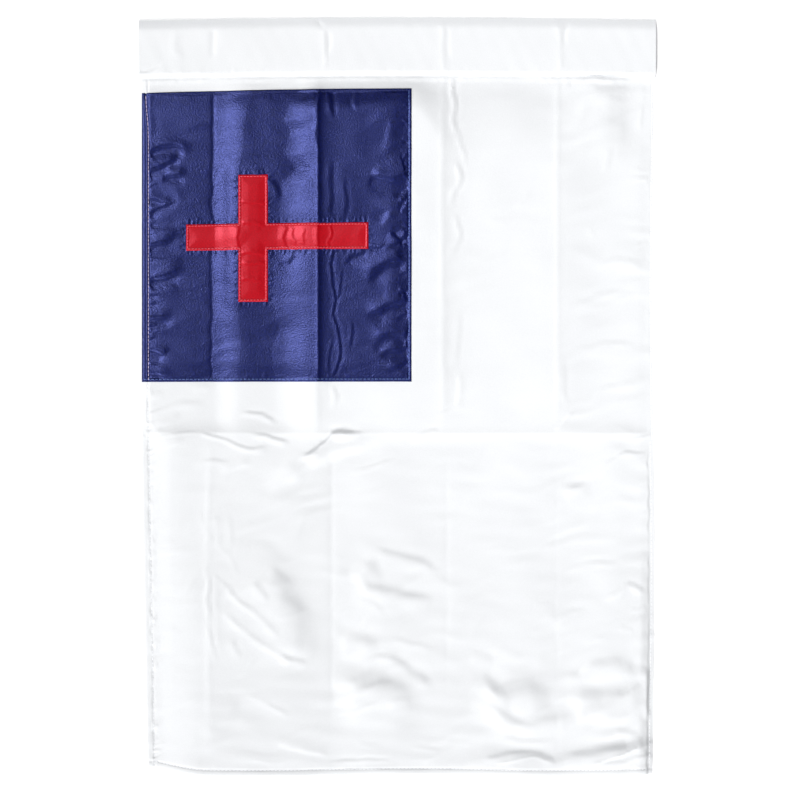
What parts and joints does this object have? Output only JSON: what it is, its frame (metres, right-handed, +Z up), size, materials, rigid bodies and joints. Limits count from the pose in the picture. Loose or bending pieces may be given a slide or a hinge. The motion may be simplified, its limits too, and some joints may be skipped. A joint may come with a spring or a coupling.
{
  "type": "christian flag",
  "caption": "Sewn house flag lying face up: white field with hemmed edges, pole sleeve along the top, blue canton in the upper left corner and a red cross on its side.",
  "frame": {"origin": "on the surface the flag lies on, under the middle of the flag's box", "axes": "+Z up out of the flag's face, +Y towards the pole sleeve at the flag's top edge, +X towards the flag's right edge as its face is seen"},
  "size_m": [0.703, 1.0302, 0.011],
  "materials": {
    "white_cloth": "satin woven nylon",
    "blue_cloth": "satin woven nylon",
    "red_cloth": "satin woven nylon"
  },
  "bodies": {
    "root": {"field": "white_cloth", "sleeve": "white_cloth", "canton": "blue_cloth", "cross": "red_cloth"}
  },
  "joints": []
}
